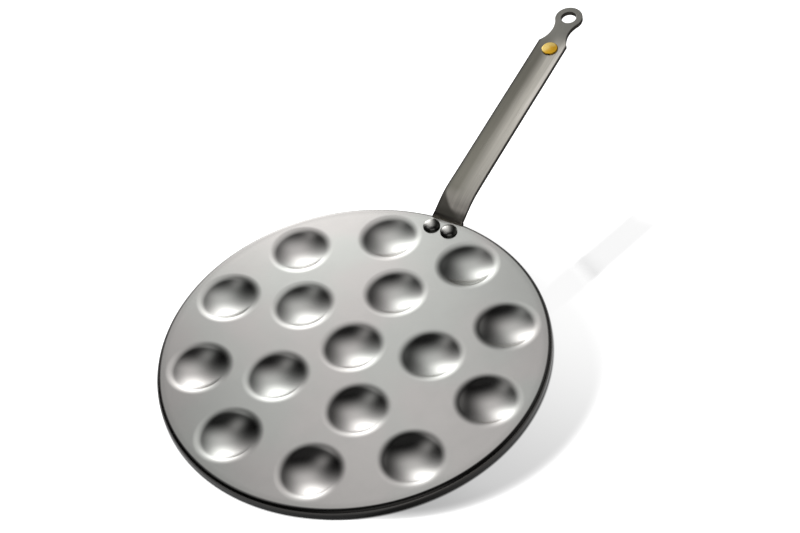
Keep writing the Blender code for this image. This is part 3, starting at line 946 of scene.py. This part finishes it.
def lamp(name, turn, rise, distance, width, height, radiance):
    """Area lamp seen from the pan at a turn to the left of straight away from the camera, in degrees."""
    data = bpy.data.lights.new(name, "AREA")
    data.shape = "RECTANGLE"
    data.size = width
    data.size_y = height
    data.energy = radiance * width * height * math.pi
    thing = bpy.data.objects.new(name, data)
    toward = direction(FAR + math.radians(turn), math.radians(rise))
    thing.location = toward * distance
    thing.rotation_euler = toward.to_track_quat("Z", "Y").to_euler()
    thing.visible_camera = False
    bpy.context.scene.collection.objects.link(thing)


def make_key(stage):
    """Low soft sun that throws the pan's shadow to its right, and that the steel doesn't mirror."""
    data = bpy.data.lights.new("key", "SUN")
    data.energy = stage.key
    data.angle = KEY_SPREAD
    key = bpy.data.objects.new("key", data)
    key.rotation_euler = direction(KEY_TURN, KEY_RISE).to_track_quat("Z", "Y").to_euler()
    key.visible_glossy = False
    bpy.context.scene.collection.objects.link(key)


def floor_material(stage):
    """Pale floor, lit by the key, with a share of white of its own that camera and reflections see.

    That share is lowered as painted shadow: where two soft-edged discs overlap on the pan's shadow, least at
    the near side, and in a faint straight band to the right of the handle for the handle's shadow. It is none
    under the pan, a painted contact shadow, and reflections see little of it just beside the pan's left, as
    painted shade.
    """
    nodes = Nodes("floor", metallic=0.0)
    path = nodes.tree.nodes.new("ShaderNodeLightPath")
    rays = [Value(nodes, path.outputs[name]) for name in
            ("Is Camera Ray", "Is Glossy Ray", "Is Transmission Ray")]
    x, y, _ = nodes.parts()
    inner, outer = (((x - centre[0]) ** 2 + (y - centre[1]) ** 2) ** 0.5
                    for centre in (SHADOW_INNER, SHADOW_OUTER))
    # Painted shadow of the pan on the floor.
    deep = x.ramp(-0.10, 0.11, 0.50, 0.08) + x.ramp(-0.09, -0.05, 0.10, 0.0)
    soft = inner.ramp(x.ramp(-0.08, 0.0, 0.118, 0.104), x.ramp(-0.08, 0.0, 0.135, 0.124), 1.0, 0.0)
    # Painted shadow of the handle: a faint straight band.
    band = x * BAND_SQUARE[0] + y * BAND_SQUARE[1] + BAND_OFFSET
    band = (band * band).ramp(BAND_CORE ** 2, BAND_REACH ** 2, 1.0, 0.0)
    band = band * x.ramp(0.05, 0.09) * x.ramp(0.19, 0.22, 1.0, 0.0)
    band = band * (outer.ramp(0.131, 0.146, 0.10, 0.56) - x.ramp(0.15, 0.23, 0.0, 0.03))
    glow = 1.0 - (deep * soft * outer.ramp(0.127, 0.139, 1.0, 0.0)).math("MAXIMUM", band)
    radius = (x * x + y * y) ** 0.5
    # Painted contact shadow under the pan.
    glow *= radius.ramp(0.1345, 0.1362)
    # Painted shade in reflections: they see less white just beside the pan's left.
    beside = 1.0 - x.ramp(-0.13, -0.06, 1.0, 0.0) * radius.ramp(0.136, 0.152, 0.85, 0.0)
    seen = rays[0].math("MAXIMUM", rays[1] * beside).math("MAXIMUM", rays[2])
    nodes.use("Base Color", (*stage.floor, 1.0))
    nodes.use("Roughness", 1.0)
    nodes.use("Specular IOR Level", 0.0)
    nodes.use("Emission Color", nodes.mix(seen, (0.0, 0.0, 0.0), glow))
    nodes.use("Emission Strength", 1.0)
    return nodes.material


def make_floor(stage):
    """Round floor, one large flat disc."""
    rim = circle((0.0, 0.0), FLOOR_RADIUS, FLOOR_CORNERS)
    corners = np.hstack([rim, np.zeros((FLOOR_CORNERS, 1))])
    mesh = bpy.data.meshes.new("floor")
    mesh.from_pydata(corners.tolist(), [], [list(range(FLOOR_CORNERS))])
    mesh.materials.append(floor_material(stage))
    floor = bpy.data.objects.new("floor", mesh)
    bpy.context.scene.collection.objects.link(floor)


# Operators


class PlateOperator(bpy.types.Operator):
    """Make the pressed plate with its dishes, shoulder, rim, notch and rivet holes."""

    bl_idname = "poffertjes.plate"
    bl_label = "Plate"

    def execute(self, context):
        """Build the plate."""
        pan = settings()
        mesh = plate_mesh(pan.plate, pan.handle.width)
        finished("plate", mesh, plate_material(pan.plate), "plate_steel", "pan_plate")
        return {"FINISHED"}


class HandleOperator(bpy.types.Operator):
    """Make the strip handle with its foot, bends, neck, ring and holes."""

    bl_idname = "poffertjes.handle"
    bl_label = "Handle"

    def execute(self, context):
        """Build the handle."""
        pan = settings()
        mesh, rows, hole = handle_mesh(pan.plate, pan.handle)
        material = strip_material(pan.handle, rows[4][0], hole)
        finished("handle", mesh, material, "handle_steel", "handle_strip")
        return {"FINISHED"}


class RivetsOperator(bpy.types.Operator):
    """Make the two domed rivets."""

    bl_idname = "poffertjes.rivets"
    bl_label = "Rivets"

    def execute(self, context):
        """Build both rivets."""
        pan = settings()
        material = rivet_material(pan.fittings, pan.plate)
        section = rivet_section(pan.plate, pan.handle, pan.fittings)
        for name, place in zip(("rivet_left", "rivet_right"), rivet_places(rivet_x(pan.plate))):
            shell = Shell()
            shell.grid(turned(section, ROUND_COLUMNS, place))
            finished(name + "_head", shell.mesh(name), material, "rivet_steel", name)
        return {"FINISHED"}


class ButtonOperator(bpy.types.Operator):
    """Make the round button through the handle."""

    bl_idname = "poffertjes.button"
    bl_label = "Button"

    def execute(self, context):
        """Build the button, square to the straight part of the handle."""
        pan = settings()
        rows = strip_line(pan.plate, pan.handle)
        start, run, point, heading, _ = rows[-1]
        along = run - pan.handle.ring - BUTTON_TO_HOLE
        shell = Shell()
        shell.grid(turned(button_section(pan.handle, pan.fittings), ROUND_COLUMNS))
        points = np.concatenate(shell.points)
        points[:, 1] -= BUTTON_OFFSET
        x, z = points[:, 0].copy(), points[:, 2].copy()
        points[:, 0] = point[0] + (along + x) * math.cos(heading) - z * math.sin(heading)
        points[:, 2] = point[1] + (along + x) * math.sin(heading) + z * math.cos(heading)
        shell.points = [points]
        material = brass_material(pan.fittings, points[0])
        finished("button", shell.mesh("button"), material, "button_brass", "handle_button")
        return {"FINISHED"}


class StageOperator(bpy.types.Operator):
    """Set up the camera, the floor and the soft studio light."""

    bl_idname = "poffertjes.stage"
    bl_label = "Stage"

    def execute(self, context):
        """Build the stage."""
        stage = settings().stage
        scene = bpy.context.scene
        make_camera()
        make_floor(stage)
        make_wall(stage)
        lamp("fill_card", turn=180.0, rise=34.0, distance=1.7, width=1.6, height=1.0, radiance=stage.fill)
        lamp("side_card", turn=-84.0, rise=23.0, distance=1.7, width=1.6, height=1.3, radiance=stage.side)
        make_key(stage)
        world = bpy.data.worlds.new("room")
        world.use_nodes = True
        world.node_tree.nodes["Background"].inputs["Color"].default_value = (stage.world,) * 3 + (1.0,)
        scene.world = world
        scene.view_settings.view_transform = "Standard"
        return {"FINISHED"}


class PanPanel(bpy.types.Panel):
    """Panel in the sidebar that lists the makers and their settings."""

    bl_idname = "POFFERTJES_PT_pan"
    bl_label = "Poffertjes Pan"
    bl_space_type = "VIEW_3D"
    bl_region_type = "UI"
    bl_category = "Poffertjes"

    def draw(self, context):
        """Lay out one button and one box of settings for each maker."""
        pan = settings()
        for group, makers in ((pan.plate, MAKERS[:1]), (pan.handle, MAKERS[1:2]), (pan.fittings, MAKERS[2:4]),
                              (pan.stage, MAKERS[4:])):
            box = self.layout.box()
            for maker in makers:
                box.operator(maker.bl_idname)
            for key in group.__annotations__:
                box.prop(group, key)


MAKERS = (PlateOperator, HandleOperator, RivetsOperator, ButtonOperator, StageOperator)
CLASSES = (PlateSettings, HandleSettings, FittingSettings, StageSettings, PanSettings, *MAKERS, PanPanel)


def register():
    """Register the classes and hang the settings on the scene."""
    for item in CLASSES:
        bpy.utils.register_class(item)
    bpy.types.Scene.poffertjes = PointerProperty(type=PanSettings)


def unregister():
    """Take the settings and the classes away."""
    del bpy.types.Scene.poffertjes
    for item in reversed(CLASSES):
        bpy.utils.unregister_class(item)


def main():
    """Make every piece and the stage."""
    register()
    bpy.ops.poffertjes.plate()
    bpy.ops.poffertjes.handle()
    bpy.ops.poffertjes.rivets()
    bpy.ops.poffertjes.button()
    bpy.ops.poffertjes.stage()


if __name__ == "__main__":
    main()
